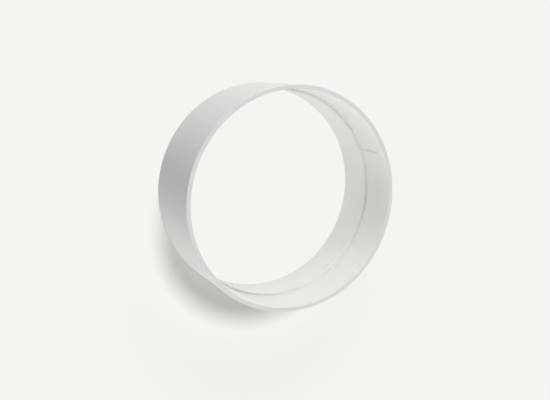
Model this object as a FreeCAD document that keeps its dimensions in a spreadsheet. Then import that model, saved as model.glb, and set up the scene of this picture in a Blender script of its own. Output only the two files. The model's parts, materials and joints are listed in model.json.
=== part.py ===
import FreeCAD, Part
import math
import os

import Sketcher

# Round duct connector, in millimetres.
# One moulded plastic sleeve joins two lengths of round duct end to end. It stands on its lower rim at z = 0,
# with its axis on +Z. Each end is a socket for a duct. A low ring half-way along the inside stops both ducts,
# and one fine groove runs along the wall of the upper socket, from near the stop ring towards the mouth.

NODE = "connector_sleeve"

DIMENSIONS = (
    ("duct_diameter", 100.0, "outside diameter of the round duct that a socket takes"),
    ("duct_clearance", 0.2, "gap between the duct and the socket wall, on the radius"),
    ("wall_thickness", 2.0, "wall of the sleeve"),
    ("socket_depth", 20.4, "rim to stop ring, the same at both ends"),
    ("stop_width", 1.2, "stop ring along the axis"),
    ("stop_height", 1.0, "how far the stop ring stands in from the wall"),
    ("stop_bevel", 0.1, "bevel of the stop ring's two crest edges"),
    ("mouth_bevel", 0.2, "bevel of the inner edge of each rim, which leads the duct in"),
    ("rim_round", 0.3, "rounding of the outer edge of each rim"),
    ("groove_diameter", 1.2, "round cutter whose path leaves the groove, with a ball at both ends"),
    ("groove_depth", 0.5, "how far the groove goes into the wall"),
    ("groove_start", 0.5, "stop ring to the groove's lower end"),
    ("groove_length", 14.8, "groove from end to end"),
    ("groove_angle", 22.7, "where the groove lies, turned about +Z from +X, in degrees"),
)

# Radius of both socket walls, as an expression on the sheet.
BORE_RADIUS = "Dimensions.duct_diameter / 2 + Dimensions.duct_clearance"

# How a sketch names the ends of a line or arc, the middle of an arc, and its own origin and axes.
START = 1
END = 2
CENTRE = 3
ORIGIN = -1
HORIZONTAL_AXIS = -1

# The property that holds the size of each kind of eased edge.
EASE_SIZE = {"Fillet": "Radius", "Chamfer": "Size"}


def make_sheet(doc):
    """Puts each driving dimension in its own named cell, beside a note of what it sets."""
    sheet = doc.addObject("Spreadsheet::Sheet", "Dimensions")
    for row, (alias, value, note) in enumerate(DIMENSIONS, start=1):
        sheet.set(f"A{row}", note)
        sheet.set(f"B{row}", str(value))
        sheet.setAlias(f"B{row}", alias)
    doc.recompute()
    return sheet


def bore_radius(sheet):
    """Radius of both socket walls, as a number."""
    return sheet.duct_diameter / 2 + sheet.duct_clearance


def sketch_on_xz(body, name):
    """Starts a sketch on the body's XZ plane: its first direction is +X and its second is +Z."""
    sketch = body.newObject("Sketcher::SketchObject", name)
    plane = next(item for item in body.Origin.OriginFeatures if item.Role == "XZ_Plane")
    sketch.AttachmentSupport = (plane, "")
    sketch.MapMode = "FlatFace"
    return sketch


def point(x, y):
    """A point of a sketch."""
    return FreeCAD.Vector(x, y, 0)


def arc(x, y, radius, first_angle, last_angle):
    """An arc of a sketch about (x, y), anticlockwise between two angles in degrees."""
    circle = Part.Circle(point(x, y), FreeCAD.Vector(0, 0, 1), radius)
    return Part.ArcOfCircle(circle, math.radians(first_angle), math.radians(last_angle))


def drive(sketch, name, kind, first, second, expression):
    """Adds the distance from one drawn point to another along X or Y, and ties it to the sheet."""
    gap = sketch.getPoint(*second) - sketch.getPoint(*first)
    drawn = gap.x if kind == "DistanceX" else gap.y
    index = sketch.addConstraint(Sketcher.Constraint(kind, *first, *second, drawn))
    sketch.renameConstraint(index, name)
    sketch.setExpression(f"Constraints.{name}", expression)


def closed_lines(sketch, points):
    """Draws straight lines round the points, each ending where the next one starts."""
    corners = [point(x, y) for x, y in points]
    following = corners[1:] + corners[:1]
    for start, end in zip(corners, following):
        sketch.addGeometry(Part.LineSegment(start, end))
    for line in range(len(corners)):
        next_line = (line + 1) % len(corners)
        sketch.addConstraint(Sketcher.Constraint("Coincident", line, END, next_line, START))


def turn(body, kind, name, sketch, axis):
    """Turns the sketch right round the axis, to add material (Revolution) or take it away (Groove)."""
    feature = body.newObject(f"PartDesign::{kind}", name)
    feature.Profile = sketch
    feature.ReferenceAxis = (sketch, [axis])
    feature.Angle = 360.0
    return feature


def ease_rings(body, kind, name, base, radius, heights, size):
    """Rounds (Fillet) or bevels (Chamfer) the base's circular edges of one radius at the given heights."""
    tolerance = 1e-4
    edges = []
    for number, edge in enumerate(base.Shape.Edges, start=1):
        if not isinstance(edge.Curve, Part.Circle):
            continue
        off_radius = abs(edge.Curve.Radius - radius)
        off_height = min(abs(edge.Curve.Center.z - height) for height in heights)
        if max(off_radius, off_height) < tolerance:
            edges.append(f"Edge{number}")
    if len(edges) != len(heights):
        raise RuntimeError(f"{name}: {len(heights)} edges to ease, {len(edges)} found")
    feature = body.newObject(f"PartDesign::{kind}", name)
    feature.Base = (base, edges)
    feature.setExpression(EASE_SIZE[kind], f"Dimensions.{size}")
    body.Document.recompute()
    return feature


def make_wall(body, sheet):
    """Revolves the section of the wall and its stop ring about the sleeve's axis."""
    bore = bore_radius(sheet)
    outside = bore + sheet.wall_thickness
    crest = bore - sheet.stop_height
    length = 2 * sheet.socket_depth + sheet.stop_width
    stop_bottom = sheet.socket_depth
    stop_top = sheet.socket_depth + sheet.stop_width

    section = sketch_on_xz(body, "WallSection")
    closed_lines(section, (
        (bore, 0),
        (outside, 0),
        (outside, length),
        (bore, length),
        (bore, stop_top),
        (crest, stop_top),
        (crest, stop_bottom),
        (bore, stop_bottom),
    ))
    lower_rim, outer_wall, upper_rim, upper_socket = range(4)
    upper_flank, stop_crest, lower_flank, lower_socket = range(4, 8)
    for line in (lower_rim, upper_rim, upper_flank, lower_flank):
        section.addConstraint(Sketcher.Constraint("Horizontal", line))
    for line in (outer_wall, upper_socket, stop_crest, lower_socket):
        section.addConstraint(Sketcher.Constraint("Vertical", line))
    section.addConstraint(Sketcher.Constraint("PointOnObject", lower_rim, START, HORIZONTAL_AXIS))
    section.addConstraint(Sketcher.Constraint("Vertical", upper_socket, END, lower_socket, START))
    section.addConstraint(Sketcher.Constraint("Equal", upper_socket, lower_socket))
    for name, kind, first, second, expression in (
        ("bore", "DistanceX", (ORIGIN, START), (lower_rim, START), BORE_RADIUS),
        ("wall", "DistanceX", (lower_rim, START), (lower_rim, END), "Dimensions.wall_thickness"),
        ("depth", "DistanceY", (lower_socket, END), (lower_socket, START), "Dimensions.socket_depth"),
        ("stop", "DistanceY", (lower_socket, START), (upper_socket, END), "Dimensions.stop_width"),
        ("rise", "DistanceX", (upper_flank, END), (upper_flank, START), "Dimensions.stop_height"),
    ):
        drive(section, name, kind, first, second, expression)
    wall = turn(body, "Revolution", "Wall", section, "V_Axis")
    body.Document.recompute()

    rims = (0, length)
    flanks = (stop_bottom, stop_top)
    wall = ease_rings(body, "Fillet", "RimRounds", wall, outside, rims, "rim_round")
    wall = ease_rings(body, "Chamfer", "MouthBevels", wall, bore, rims, "mouth_bevel")
    return ease_rings(body, "Chamfer", "StopBevels", wall, crest, flanks, "stop_bevel")


def make_groove(body, sheet, wall):
    """Cuts the groove along the upper socket's wall, with the path of a ball-ended cutter."""
    radius = sheet.groove_diameter / 2
    centre = bore_radius(sheet) + sheet.groove_depth - radius
    bottom = centre + radius
    low = sheet.socket_depth + sheet.stop_width + sheet.groove_start
    high = low + sheet.groove_length

    section = sketch_on_xz(body, "GrooveSection")
    about_z = FreeCAD.Rotation(FreeCAD.Vector(0, 1, 0), sheet.groove_angle)
    section.AttachmentOffset = FreeCAD.Placement(FreeCAD.Vector(0, 0, 0), about_z)
    section.setExpression("AttachmentOffset.Rotation.Angle", "Dimensions.groove_angle")
    axis = section.addGeometry(Part.LineSegment(point(centre, low), point(centre, high)))
    side = section.addGeometry(Part.LineSegment(point(bottom, low + radius), point(bottom, high - radius)))
    low_end = section.addGeometry(arc(centre, low + radius, radius, -90, 0))
    high_end = section.addGeometry(arc(centre, high - radius, radius, 0, 90))
    turning_axis = section.addGeometry(Part.LineSegment(point(centre, low), point(centre, high)), True)

    for first, second in (
        ((axis, START), (low_end, START)),
        ((axis, END), (high_end, END)),
        ((axis, START), (turning_axis, START)),
        ((axis, END), (turning_axis, END)),
    ):
        section.addConstraint(Sketcher.Constraint("Coincident", *first, *second))
    section.addConstraint(Sketcher.Constraint("Tangent", side, START, low_end, END))
    section.addConstraint(Sketcher.Constraint("Tangent", side, END, high_end, START))
    for line in (axis, side):
        section.addConstraint(Sketcher.Constraint("Vertical", line))
    for end in (low_end, high_end):
        section.addConstraint(Sketcher.Constraint("PointOnObject", end, CENTRE, axis))
    from_floor = "Dimensions.socket_depth + Dimensions.stop_width + Dimensions.groove_start"
    for name, kind, first, second, expression in (
        ("bottom", "DistanceX", (ORIGIN, START), (side, START), f"{BORE_RADIUS} + Dimensions.groove_depth"),
        ("radius", "DistanceX", (axis, START), (side, START), "Dimensions.groove_diameter / 2"),
        ("low", "DistanceY", (ORIGIN, START), (axis, START), from_floor),
        ("length", "DistanceY", (axis, START), (axis, END), "Dimensions.groove_length"),
    ):
        drive(section, name, kind, first, second, expression)
    groove = turn(body, "Groove", "WallGroove", section, "Axis0")
    body.Document.recompute()
    if groove.Shape.Volume >= wall.Shape.Volume:
        raise RuntimeError("the groove takes nothing from the wall")


def check(doc, body):
    """Stops if a feature failed, a sketch is loose, or the sleeve isn't one sound solid."""
    for item in doc.Objects:
        if {"Invalid", "Error"} & set(item.State):
            raise RuntimeError(f"{item.Label} failed: {item.State}")
        if item.isDerivedFrom("Sketcher::SketchObject") and not item.FullyConstrained:
            raise RuntimeError(f"{item.Label} isn't fully constrained")
    shape = body.Shape
    if shape.isNull() or not shape.isValid() or len(shape.Solids) != 1:
        raise RuntimeError(f"{body.Label} isn't one valid solid")


def main():
    doc = FreeCAD.newDocument("duct_connector")
    sheet = make_sheet(doc)
    body = doc.addObject("PartDesign::Body", "ConnectorSleeve")
    body.Label = NODE
    wall = make_wall(body, sheet)
    make_groove(body, sheet, wall)
    check(doc, body)
    os.makedirs("parts", exist_ok=True)
    body.Shape.exportStep(os.path.join("parts", f"{body.Label}.step"))
    box = body.Shape.optimalBoundingBox()
    print(f"{body.Label}: {box.XLength:.2f} x {box.YLength:.2f} x {box.ZLength:.2f} mm, "
          f"{body.Shape.Volume:.1f} cubic mm, {len(body.Shape.Faces)} faces")


main()
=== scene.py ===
import json
import math

import bmesh
import bpy
from mathutils import Matrix, Vector


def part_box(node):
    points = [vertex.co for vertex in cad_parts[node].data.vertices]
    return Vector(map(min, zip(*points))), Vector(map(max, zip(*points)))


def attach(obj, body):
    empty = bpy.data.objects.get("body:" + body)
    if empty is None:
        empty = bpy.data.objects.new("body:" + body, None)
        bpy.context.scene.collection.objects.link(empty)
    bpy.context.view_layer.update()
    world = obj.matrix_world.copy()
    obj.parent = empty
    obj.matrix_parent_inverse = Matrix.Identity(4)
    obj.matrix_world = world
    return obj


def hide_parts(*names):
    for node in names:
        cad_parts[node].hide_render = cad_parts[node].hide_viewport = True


# The looks of a round duct connector, in metres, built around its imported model.
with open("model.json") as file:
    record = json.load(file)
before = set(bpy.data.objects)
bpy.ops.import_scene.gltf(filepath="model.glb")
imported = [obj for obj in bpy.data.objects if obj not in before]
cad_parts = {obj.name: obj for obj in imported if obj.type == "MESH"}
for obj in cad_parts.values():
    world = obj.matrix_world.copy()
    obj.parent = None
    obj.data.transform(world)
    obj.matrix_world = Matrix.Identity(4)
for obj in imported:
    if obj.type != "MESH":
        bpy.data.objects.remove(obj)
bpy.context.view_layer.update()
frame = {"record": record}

MM = 0.001
NODE = "connector_sleeve"
PIECE = "duct_connector_sleeve"
BODY = "root"
SLOT = "white_plastic"

# The sleeve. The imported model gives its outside, its length and its bore.
MOUNTS = {mount["name"]: mount for mount in frame["record"]["mounts"]}
LOWEST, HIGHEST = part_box(NODE)
LENGTH = HIGHEST.z - LOWEST.z
OUTER_RADIUS = HIGHEST.x
BORE_RADIUS = MOUNTS["upper_socket"]["dims"]["r_mm"] * MM

# The rims, with a rounded outer edge and a bevelled mouth whose edges are eased.
RIM_ROUND = 0.3 * MM
MOUTH_BEVEL = 0.2 * MM
MOUTH_EASE = 0.06 * MM

# The stop ring half-way along the inside.
STOP_WIDTH = 1.2 * MM
STOP_HEIGHT = 1.0 * MM
STOP_CREST_ROUND = 0.1 * MM
STOP_ROOT_ROUND = 0.08 * MM
STOP_BOTTOM = (LENGTH - STOP_WIDTH) / 2
STOP_TOP = (LENGTH + STOP_WIDTH) / 2

# The groove along the upper socket's wall, left by a ball-ended cutter, with an eased lip.
GROOVE_ANGLE = math.radians(22.7)
GROOVE_BALL = 0.6 * MM
GROOVE_DEPTH = 0.5 * MM
GROOVE_LIP = 0.1 * MM
GROOVE_START = 0.5 * MM
GROOVE_LENGTH = 14.8 * MM
GROOVE_LOW_BALL = STOP_TOP + GROOVE_START + GROOVE_BALL
GROOVE_HIGH_BALL = STOP_TOP + GROOVE_START + GROOVE_LENGTH - GROOVE_BALL
BALL_STANDOFF = GROOVE_BALL - GROOVE_DEPTH
LIP_REACH = math.sqrt((GROOVE_BALL + GROOVE_LIP) ** 2 - (BALL_STANDOFF + GROOVE_LIP) ** 2)
LIP_START = LIP_REACH * GROOVE_BALL / (GROOVE_BALL + GROOVE_LIP)

# How finely the mesh is divided. The columns are counted in degrees from the groove.
ARC_STEPS = 5
BALL_STEPS = 6
LIP_STEPS = 5
HOLD = 0.12 * MM
HOLD_SHARE = 0.25
LONGEST_FACE = 4 * MM
COLUMN_STEP = 1
FIRST_COLUMN = 2
FULL_TURN = 360

# A point on the very edge of the groove's lip counts as part of the lip.
EDGE_ALLOWANCE = 1.0001

# The plastic's colour, between two close tints.
DARKER_TINT = (0.775, 0.769, 0.748, 1)
LIGHTER_TINT = (0.815, 0.811, 0.790, 1)
MOTTLE_TINT = 0.6
STREAK_TINT = 0.4

# The plastic's gloss.
PLASTIC_IOR = 1.49
SMOOTHEST = 0.33
ROUGHEST = 0.39
MOTTLE_ROUGHNESS = 0.05

# The plastic's patterns: scales per metre, bump heights, and the middle range of the noise.
MARKS_AROUND = 40
MARKS_ALONG = 2600
MARKS_DETAIL = 2
MARKS_HEIGHT = 0.004 * MM
STREAKS_AROUND = 12
STREAKS_ALONG = 420
STREAKS_DETAIL = 3
GRAIN_SCALE = 2400
GRAIN_DETAIL = 2
GRAIN_HEIGHT = 0.01 * MM
MOTTLE_SCALE = 45
MOTTLE_DETAIL = 4
NOISE_LOW = 0.3
NOISE_HIGH = 0.7
BUMP_STRENGTH = 0.5

# The camera, placed by pixels of the photograph. It looks into the upper socket from the left.
PHOTO_WIDTH = 550
PHOTO_HEIGHT = 400
MIDDLE_ACROSS = 276.45
MIDDLE_DOWN = 193.6
FOCAL_PIXELS = 745.4
SENSOR_MM = 36
YAW = math.radians(25.15)
PITCH = math.radians(10.12)
DISTANCE = 357 * MM
CLIP_START = 10 * MM

# The pale surround, and the weaker light that the backdrop and the outer floor give the sleeve.
PALE = (0.913, 0.905, 0.871, 1)
AMBIENT = 0.02
FLOOR_RADIUS = 2.0
FLOOR_SIDES = 96
FLOOR_DROP = 0.02 * MM
FLOOR_GLOW = 0.47

# The share of matt paint in the floor, around the place where the shadow falls.
SHADOW_SHARE = 0.6
SHADOW_MIDDLE = (0, -0.05, 0)
SHADOW_NEAR = 0.045
SHADOW_FAR = 0.085

# The floor's own light, as a share of what makes the matt paint as pale as the glow.
FLOOR_LIGHT = 0.85
FLOOR_LIGHT_AROUND = 86
FLOOR_LIGHT_ABOVE = 68
FLOOR_LIGHT_SPREAD = math.radians(16)

# The sleeve's lamps: name, degrees around and above its middle, width in metres, power in watts.
LAMP_DISTANCE = 0.8
LAMPS = (
    ("lamp_above", 90, 28, 0.3, 1.9),
    ("lamp_above_right", 75, 28, 0.3, 1.1),
    ("lamp_above_left", 120, 28, 0.3, 0.28),
    ("lamp_above_low", 80, 10, 0.2, 1.3),
    ("lamp_below", 255, 28, 0.3, 1.9),
    ("lamp_below_low", 255, 6, 0.2, 2.3),
    ("lamp_left_high", 180, 60, 0.3, 1.9),
    ("lamp_right", 345, 24, 0.3, 2.1),
)


def even_steps(start, end, longest):
    """Evenly spaced values between two others, with no gap longer than the given one."""
    count = max(1, math.ceil(abs(end - start) / longest))
    return [start + (end - start) * step / count for step in range(1, count)]


def groove_reaches():
    """Distances from the groove's middle line where the mesh has a line, out to the lip's end."""
    ball_turn = math.asin(LIP_START / GROOVE_BALL)
    lip_turn = math.asin((LIP_REACH - LIP_START) / GROOVE_LIP)
    floor_turns = [ball_turn * step / BALL_STEPS for step in range(1, BALL_STEPS)]
    lip_turns = [lip_turn * step / LIP_STEPS for step in range(LIP_STEPS, -1, -1)]
    floor = [GROOVE_BALL * math.sin(turn) for turn in floor_turns]
    lip = [LIP_REACH - GROOVE_LIP * math.sin(turn) for turn in lip_turns]
    return floor + lip


def groove_depth(away):
    """Depth of the groove at a distance from its middle line: the ball's floor, then the lip."""
    if away <= LIP_START:
        return math.sqrt(GROOVE_BALL ** 2 - away ** 2) - BALL_STANDOFF
    if away < LIP_REACH:
        return GROOVE_LIP - math.sqrt(GROOVE_LIP ** 2 - (LIP_REACH - away) ** 2)
    return 0.0


def round_corner(before, corner, after, radius):
    """Points of the arc that rounds a corner of the wall's section."""
    back = (before - corner).normalized()
    on = (after - corner).normalized()
    half = back.angle(on) / 2
    centre = corner + (back + on).normalized() * radius / math.sin(half)
    reach = radius / math.tan(half)
    first = (corner + back * reach - centre) / radius
    last = (corner + on * reach - centre) / radius
    return [centre + first.slerp(last, step / ARC_STEPS) * radius for step in range(ARC_STEPS + 1)]


def run_heights(top):
    """Heights of the mesh's lines along the upper socket's wall, from its mouth to the stop ring."""
    reaches = groove_reaches()
    high_end = [GROOVE_HIGH_BALL + reach for reach in reversed(reaches)] + [GROOVE_HIGH_BALL]
    low_end = [GROOVE_LOW_BALL] + [GROOVE_LOW_BALL - reach for reach in reaches]
    return (
        [top - HOLD]
        + even_steps(top - HOLD, high_end[0], LONGEST_FACE)
        + high_end
        + even_steps(GROOVE_HIGH_BALL, GROOVE_LOW_BALL, LONGEST_FACE)
        + low_end
    )


def run_points(start, end):
    """Points along a straight run, with one close to each end to hold its rounded edge's shading."""
    run = end - start
    hold = min(HOLD, run.length * HOLD_SHARE)
    marks = [hold] + even_steps(hold, run.length - hold, LONGEST_FACE) + [run.length - hold]
    return [start + run * mark / run.length for mark in marks]


def section():
    """The wall's closed section, as (radius, height) points, and which lie along the upper socket."""
    crest = BORE_RADIUS - STOP_HEIGHT
    mouth = BORE_RADIUS + MOUTH_BEVEL
    corners = (
        (mouth, 0, MOUTH_EASE),
        (OUTER_RADIUS, 0, RIM_ROUND),
        (OUTER_RADIUS, LENGTH, RIM_ROUND),
        (mouth, LENGTH, MOUTH_EASE),
        (BORE_RADIUS, LENGTH - MOUTH_BEVEL, MOUTH_EASE),
        (BORE_RADIUS, STOP_TOP, STOP_ROOT_ROUND),
        (crest, STOP_TOP, STOP_CREST_ROUND),
        (crest, STOP_BOTTOM, STOP_CREST_ROUND),
        (BORE_RADIUS, STOP_BOTTOM, STOP_ROOT_ROUND),
        (BORE_RADIUS, MOUTH_BEVEL, MOUTH_EASE),
    )
    # The upper socket's wall runs on from this corner.
    upper_socket = 4
    places = [Vector((radius, height)) for radius, height, _ in corners]
    eases = [ease for _, _, ease in corners]
    arcs = []
    for number, ease in enumerate(eases):
        after = places[(number + 1) % len(places)]
        arcs.append(round_corner(places[number - 1], places[number], after, ease))
    outline = []
    for number, arc in enumerate(arcs):
        next_arc = arcs[(number + 1) % len(arcs)]
        outline += arc
        if number == upper_socket:
            heights = run_heights(arc[-1].y)
            socket_wall = range(len(outline), len(outline) + len(heights))
            outline += [Vector((BORE_RADIUS, height)) for height in heights]
        else:
            outline += run_points(arc[-1], next_arc[0])
    return outline, socket_wall


def columns():
    """Angles of the mesh's columns from the groove: close together across it and even elsewhere."""
    right = [math.asin(reach / BORE_RADIUS) for reach in groove_reaches()]
    left = [-angle for angle in reversed(right)]
    last_column = FULL_TURN - FIRST_COLUMN
    rest = [math.radians(angle) for angle in range(FIRST_COLUMN, last_column + 1, COLUMN_STEP)]
    return left + [0.0] + right + rest


def socket_point(angle, height):
    """A point of the upper socket's wall at an angle from the groove, sunk where the groove runs."""
    across = BORE_RADIUS * math.sin(angle)
    past_end = max(GROOVE_LOW_BALL - height, height - GROOVE_HIGH_BALL, 0)
    reach = max(abs(across), past_end)
    if math.cos(angle) < 0 or reach > LIP_REACH * EDGE_ALLOWANCE:
        return Vector((BORE_RADIUS * math.cos(angle), across, height))
    if past_end > 0:
        # The square net of lines becomes rings around the groove's rounded end.
        shrink = reach / math.hypot(across, past_end)
        across *= shrink
        past_end *= shrink
        if height < GROOVE_LOW_BALL:
            height = GROOVE_LOW_BALL - past_end
        else:
            height = GROOVE_HIGH_BALL + past_end
    out = math.sqrt(BORE_RADIUS ** 2 - across ** 2) + groove_depth(math.hypot(across, past_end))
    return Vector((out, across, height))


def make_sleeve():
    """Turns the wall's section about the axis, with the groove in the upper socket."""
    outline, socket_wall = section()
    angles = columns()
    mesh = bmesh.new()
    rings = []
    for angle in angles:
        ring = []
        for number, (radius, height) in enumerate(outline):
            if number in socket_wall:
                place = socket_point(angle, height)
            else:
                place = Vector((radius * math.cos(angle), radius * math.sin(angle), height))
            ring.append(mesh.verts.new(place))
        rings.append(ring)
    for ring, next_ring in zip(rings, rings[1:] + rings[:1]):
        for number in range(len(outline)):
            before = number - 1
            mesh.faces.new((ring[before], next_ring[before], next_ring[number], ring[number]))
    bmesh.ops.rotate(mesh, verts=mesh.verts, matrix=Matrix.Rotation(GROOVE_ANGLE, 3, "Z"))
    bmesh.ops.recalc_face_normals(mesh, faces=mesh.faces)
    for face in mesh.faces:
        face.smooth = True
    data = bpy.data.meshes.new(PIECE)
    mesh.to_mesh(data)
    mesh.free()
    return link(PIECE, data)


def link(name, data):
    """Puts a new object with this data in the scene."""
    item = bpy.data.objects.new(name, data)
    bpy.context.scene.collection.objects.link(item)
    return item


def new_material(name):
    """A material with an empty node tree and its output."""
    material = bpy.data.materials.new(name)
    material.use_nodes = True
    tree = material.node_tree
    tree.nodes.clear()
    return material, tree, tree.nodes.new("ShaderNodeOutputMaterial")


def add_noise(tree, vector, scale, detail):
    """A noise pattern over the given coordinates."""
    noise = tree.nodes.new("ShaderNodeTexNoise")
    noise.inputs["Scale"].default_value = scale
    noise.inputs["Detail"].default_value = detail
    tree.links.new(vector, noise.inputs["Vector"])
    return noise.outputs["Fac"]


def add_marks(tree, place, around, along, detail):
    """A noise pattern of marks that run round the wall: few around it, and many along it."""
    stretch = tree.nodes.new("ShaderNodeMapping")
    stretch.inputs["Scale"].default_value = (around, around, along)
    tree.links.new(place, stretch.inputs["Vector"])
    return add_noise(tree, stretch.outputs["Vector"], 1, detail)


def add_range(tree, value, low, high, to_low, to_high):
    """Carries a value from one range to another, smoothly."""
    node = tree.nodes.new("ShaderNodeMapRange")
    node.interpolation_type = "SMOOTHSTEP"
    node.inputs["From Min"].default_value = low
    node.inputs["From Max"].default_value = high
    node.inputs["To Min"].default_value = to_low
    node.inputs["To Max"].default_value = to_high
    tree.links.new(value, node.inputs["Value"])
    return node.outputs["Result"]


def add_spread(tree, noise, to_low, to_high):
    """Spreads the middle range of a noise pattern over the given values."""
    return add_range(tree, noise, NOISE_LOW, NOISE_HIGH, to_low, to_high)


def add_math(tree, operation, first, second):
    """One value worked out from two others."""
    node = tree.nodes.new("ShaderNodeMath")
    node.operation = operation
    tree.links.new(first, node.inputs[0])
    tree.links.new(second, node.inputs[1])
    return node.outputs["Value"]


def add_bump(tree, height, distance, normal=None):
    """A bump from a height pattern, on top of an earlier one if there is one."""
    bump = tree.nodes.new("ShaderNodeBump")
    bump.inputs["Distance"].default_value = distance
    bump.inputs["Strength"].default_value = BUMP_STRENGTH
    tree.links.new(height, bump.inputs["Height"])
    if normal:
        tree.links.new(normal, bump.inputs["Normal"])
    return bump.outputs["Normal"]


def white_plastic():
    """White satin plastic: fine grain, tool marks and faint streaks round the wall, slight mottle."""
    material, tree, output = new_material(SLOT)
    shader = tree.nodes.new("ShaderNodeBsdfPrincipled")
    shader.inputs["IOR"].default_value = PLASTIC_IOR
    place = tree.nodes.new("ShaderNodeTexCoord").outputs["Object"]

    marks = add_marks(tree, place, MARKS_AROUND, MARKS_ALONG, MARKS_DETAIL)
    streaks = add_marks(tree, place, STREAKS_AROUND, STREAKS_ALONG, STREAKS_DETAIL)
    grain = add_noise(tree, place, GRAIN_SCALE, GRAIN_DETAIL)
    mottle = add_noise(tree, place, MOTTLE_SCALE, MOTTLE_DETAIL)

    tint = tree.nodes.new("ShaderNodeMix")
    tint.data_type = "RGBA"
    tint.inputs["A"].default_value = DARKER_TINT
    tint.inputs["B"].default_value = LIGHTER_TINT
    mottle_part = add_spread(tree, mottle, 0, MOTTLE_TINT)
    streak_part = add_spread(tree, streaks, 0, STREAK_TINT)
    tone = add_math(tree, "ADD", mottle_part, streak_part)
    tree.links.new(tone, tint.inputs["Factor"])
    tree.links.new(tint.outputs["Result"], shader.inputs["Base Color"])

    marks_part = add_spread(tree, marks, SMOOTHEST, ROUGHEST)
    mottle_part = add_spread(tree, mottle, 0, MOTTLE_ROUGHNESS)
    roughness = add_math(tree, "ADD", marks_part, mottle_part)
    tree.links.new(roughness, shader.inputs["Roughness"])

    normal = add_bump(tree, marks, MARKS_HEIGHT)
    normal = add_bump(tree, grain, GRAIN_HEIGHT, normal)
    tree.links.new(normal, shader.inputs["Normal"])
    tree.links.new(shader.outputs["BSDF"], output.inputs["Surface"])
    return material


def seen_rays(tree):
    """1 for rays that show a surface directly, in a reflection or through glass, and 0 for others."""
    rays = tree.nodes.new("ShaderNodeLightPath")
    seen = rays.outputs["Is Camera Ray"]
    for kind in ("Is Glossy Ray", "Is Transmission Ray"):
        seen = add_math(tree, "MAXIMUM", seen, rays.outputs[kind])
    return seen


def pale_glow(tree):
    """An even pale glow, as bright as the backdrop of the photograph."""
    glow = tree.nodes.new("ShaderNodeEmission")
    glow.inputs["Color"].default_value = PALE
    return glow


def inner_floor():
    """The floor seen through the sleeve, which also lights the sleeve from within."""
    material, tree, output = new_material("inner_floor")
    tree.links.new(pale_glow(tree).outputs["Emission"], output.inputs["Surface"])
    return material


def outer_floor():
    """The floor round the sleeve: pale where it is seen, and partly matt where the shadow falls."""
    material, tree, output = new_material("outer_floor")
    glow = pale_glow(tree)
    strength = add_range(tree, seen_rays(tree), 0, 1, FLOOR_GLOW, 1)
    tree.links.new(strength, glow.inputs["Strength"])
    material.cycles.emission_sampling = "NONE"

    matt = tree.nodes.new("ShaderNodeBsdfDiffuse")
    matt.inputs["Color"].default_value = PALE
    away = tree.nodes.new("ShaderNodeVectorMath")
    away.operation = "DISTANCE"
    away.inputs[1].default_value = SHADOW_MIDDLE
    tree.links.new(tree.nodes.new("ShaderNodeTexCoord").outputs["Object"], away.inputs[0])
    share = add_range(tree, away.outputs["Value"], SHADOW_NEAR, SHADOW_FAR, SHADOW_SHARE, 0)

    both = tree.nodes.new("ShaderNodeMixShader")
    tree.links.new(share, both.inputs["Fac"])
    tree.links.new(glow.outputs["Emission"], both.inputs[1])
    tree.links.new(matt.outputs["BSDF"], both.inputs[2])
    tree.links.new(both.outputs["Shader"], output.inputs["Surface"])
    return material


def make_floor_part(name, inside, outside, material):
    """A flat ring of floor, or a disc where it has no inside, a hair below the sleeve's rim."""
    mesh = bmesh.new()
    capped = not inside
    bmesh.ops.create_circle(mesh, segments=FLOOR_SIDES, radius=outside, cap_ends=capped, cap_tris=True)
    if inside:
        bmesh.ops.create_circle(mesh, segments=FLOOR_SIDES, radius=inside)
        bmesh.ops.bridge_loops(mesh, edges=mesh.edges)
    data = bpy.data.meshes.new(name)
    mesh.to_mesh(data)
    mesh.free()
    data.materials.append(material)
    floor = link(name, data)
    floor.location.z = LOWEST.z - FLOOR_DROP
    return floor


def make_world():
    """A little even light from all round, and the backdrop's pale colour where it is seen."""
    world = bpy.data.worlds.new("surround")
    bpy.context.scene.world = world
    world.use_nodes = True
    tree = world.node_tree
    tree.nodes.clear()
    surround = tree.nodes.new("ShaderNodeBackground")
    surround.inputs["Color"].default_value = PALE
    strength = add_range(tree, seen_rays(tree), 0, 1, AMBIENT, 1)
    tree.links.new(strength, surround.inputs["Strength"])
    output = tree.nodes.new("ShaderNodeOutputWorld")
    tree.links.new(surround.outputs["Background"], output.inputs["Surface"])


def direction(around, above):
    """The direction at an angle around the sleeve's axis and above the floor, both in degrees."""
    level = math.cos(math.radians(above))
    turn = math.radians(around)
    return Vector((level * math.cos(turn), level * math.sin(turn), math.sin(math.radians(above))))


def lit_alone(item):
    """A collection that names the one thing that some lamps light. All things still cast shadows."""
    lit = bpy.data.collections.new("lit_" + item.name)
    lit.objects.link(item)
    return lit


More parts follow.
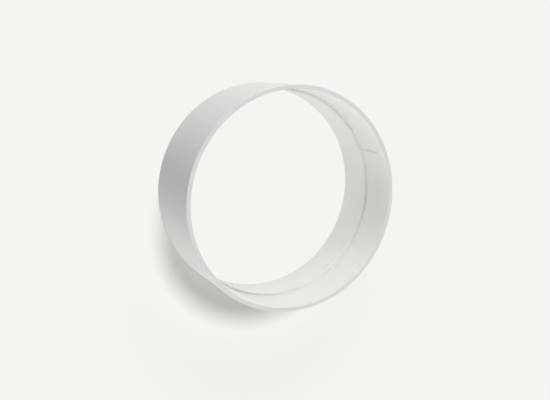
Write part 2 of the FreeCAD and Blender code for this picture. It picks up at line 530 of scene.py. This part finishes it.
def add_lamp(name, kind, towards, lit):
    """A lamp in the given direction from the sleeve's middle, turned to it, that lights one thing."""
    data = bpy.data.lights.new(name, kind)
    lamp = link(name, data)
    lamp.location = Vector((0, 0, LENGTH / 2)) + towards * LAMP_DISTANCE
    lamp.rotation_mode = "QUATERNION"
    lamp.rotation_quaternion = towards.to_track_quat("Z", "Y")
    lamp.visible_camera = False
    lamp.light_linking.receiver_collection = lit
    return data


def make_lamps(sleeve, floor):
    """Soft square lamps for the sleeve, and a wide light that makes the matt floor pale too."""
    lit_sleeve = lit_alone(sleeve)
    for name, around, above, width, power in LAMPS:
        data = add_lamp(name, "AREA", direction(around, above), lit_sleeve)
        data.shape = "SQUARE"
        data.size = width
        data.energy = power
    towards = direction(FLOOR_LIGHT_AROUND, FLOOR_LIGHT_ABOVE)
    data = add_lamp("floor_light", "SUN", towards, lit_alone(floor))
    data.angle = FLOOR_LIGHT_SPREAD
    data.energy = FLOOR_LIGHT * math.pi / math.sin(math.radians(FLOOR_LIGHT_ABOVE))


def make_camera():
    """The photograph's camera: the sleeve's middle falls where it does in the photograph."""
    data = bpy.data.cameras.new("camera")
    data.sensor_width = SENSOR_MM
    data.lens = FOCAL_PIXELS * SENSOR_MM / PHOTO_WIDTH
    data.clip_start = CLIP_START
    camera = link("camera", data)
    level = math.cos(PITCH)
    back = Vector((-math.sin(YAW) * level, math.sin(PITCH), math.cos(YAW) * level))
    right = Vector((math.cos(YAW), 0, math.sin(YAW)))
    up = back.cross(right)
    across = (MIDDLE_ACROSS - PHOTO_WIDTH / 2) / FOCAL_PIXELS
    down = (MIDDLE_DOWN - PHOTO_HEIGHT / 2) / FOCAL_PIXELS
    middle = Vector((0, 0, LENGTH / 2))
    place = middle + DISTANCE * (back - right * across + up * down)
    turn = Matrix((right, up, back)).transposed().to_4x4()
    camera.matrix_world = Matrix.Translation(place) @ turn
    bpy.context.scene.camera = camera


sleeve = make_sleeve()
sleeve.data.materials.append(white_plastic())
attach(sleeve, BODY)
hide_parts(NODE)
# The two parts of the floor meet under the wall, where the join isn't seen.
under_wall = (BORE_RADIUS + OUTER_RADIUS) / 2
make_floor_part("inner_floor", 0, under_wall, inner_floor())
floor = make_floor_part("outer_floor", under_wall, FLOOR_RADIUS, outer_floor())
make_world()
make_lamps(sleeve, floor)
make_camera()
bpy.context.scene.view_settings.view_transform = "Standard"
